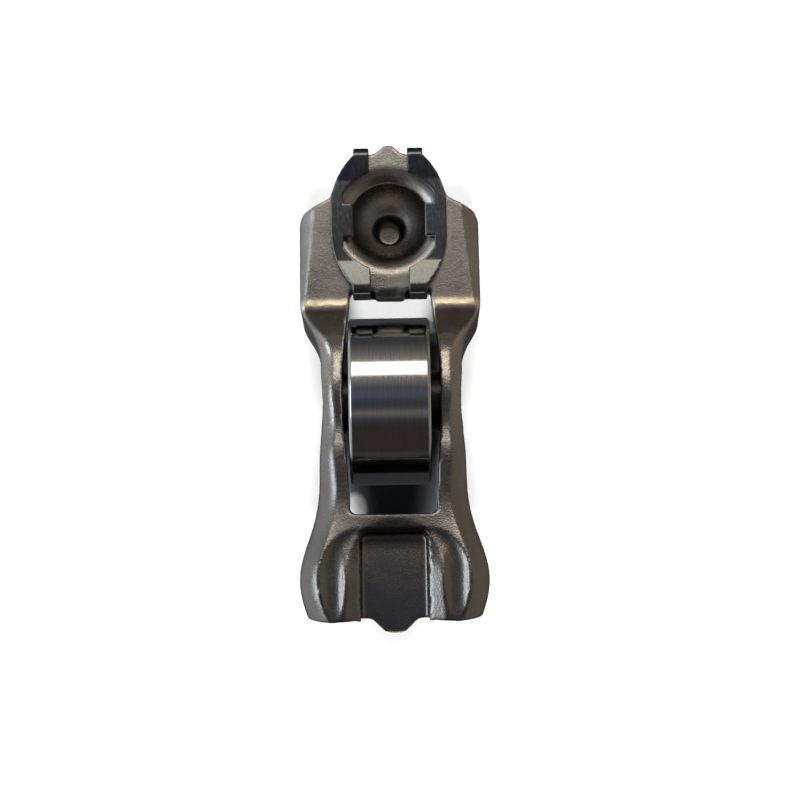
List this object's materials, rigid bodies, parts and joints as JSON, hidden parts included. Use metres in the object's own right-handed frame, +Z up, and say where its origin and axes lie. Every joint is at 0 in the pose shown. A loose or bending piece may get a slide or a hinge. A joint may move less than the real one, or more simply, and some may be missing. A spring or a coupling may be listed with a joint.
{
  "type": "rocker arm",
  "caption": "Pressed-steel roller finger follower with a ball socket and spring clip, a needle-bearing cam roller in its window and a guided valve pad.",
  "frame": {"origin": "centre of the pivot ball's seat", "axes": "+Y along the arm from the valve pad to the pivot socket, +X across it, +Z up, away from the table that the part lies on with its underside up"},
  "size_m": [0.019, 0.0491, 0.0178],
  "materials": {
    "pressed_steel": "satin, oiled",
    "spring_steel": "blue-black, satin",
    "axle_steel": "turned",
    "ground_steel": "ground and polished",
    "needle_steel": "polished"
  },
  "bodies": {
    "arm_body": {"arm": "pressed_steel", "axle": "axle_steel", "clip": "spring_steel"},
    "roller_body": {"roller": "ground_steel"},
    "needle_row": {"needle_01": "needle_steel", "needle_02": "needle_steel", "needle_03": "needle_steel", "needle_04": "needle_steel", "needle_05": "needle_steel", "needle_06": "needle_steel", "needle_07": "needle_steel", "needle_08": "needle_steel", "needle_09": "needle_steel", "needle_10": "needle_steel", "needle_11": "needle_steel", "needle_12": "needle_steel", "needle_13": "needle_steel", "needle_14": "needle_steel", "needle_15": "needle_steel", "needle_16": "needle_steel"}
  },
  "joints": [
    {"name": "roller_spin", "type": "hinge", "parent": "arm_body", "child": "roller_body", "pos_m": [0, -0.0182, -0.00192], "axis": [1, 0, 0], "continuous": true},
    {"name": "needle_orbit", "type": "hinge", "parent": "arm_body", "child": "needle_row", "pos_m": [0, -0.0182, -0.00192], "axis": [1, 0, 0], "continuous": true}
  ],
  "couplings": [
    {"joint": "needle_orbit", "follows": "roller_spin", "ratio": 0.59424}
  ]
}
